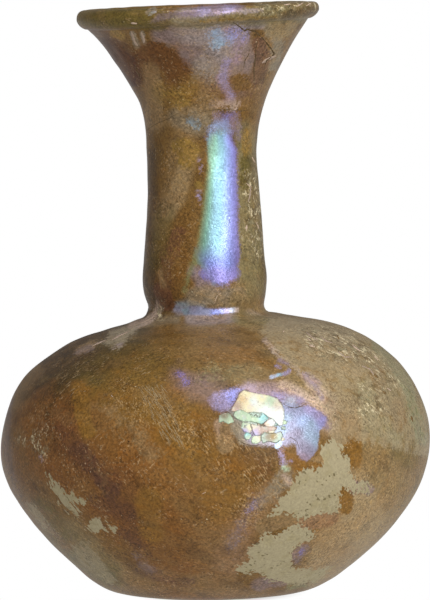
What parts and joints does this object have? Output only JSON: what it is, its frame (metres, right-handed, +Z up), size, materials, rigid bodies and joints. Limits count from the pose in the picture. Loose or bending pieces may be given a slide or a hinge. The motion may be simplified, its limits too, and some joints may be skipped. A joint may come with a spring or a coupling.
{
  "type": "roman glass unguentarium",
  "caption": "Small blown glass flask with a wide funnel mouth, thick folded collar, leaning neck and squat round body, under brown and iridescent weathering.",
  "frame": {"origin": "middle of the underside, on the surface that the flask stands on", "axes": "+Z up through the mouth, the front faces -Y, and the neck leans a little towards -X"},
  "size_m": [0.073, 0.073, 0.1007],
  "materials": {
    "weathered_glass": "satin"
  },
  "bodies": {
    "root": {"flask": "weathered_glass"}
  },
  "joints": []
}
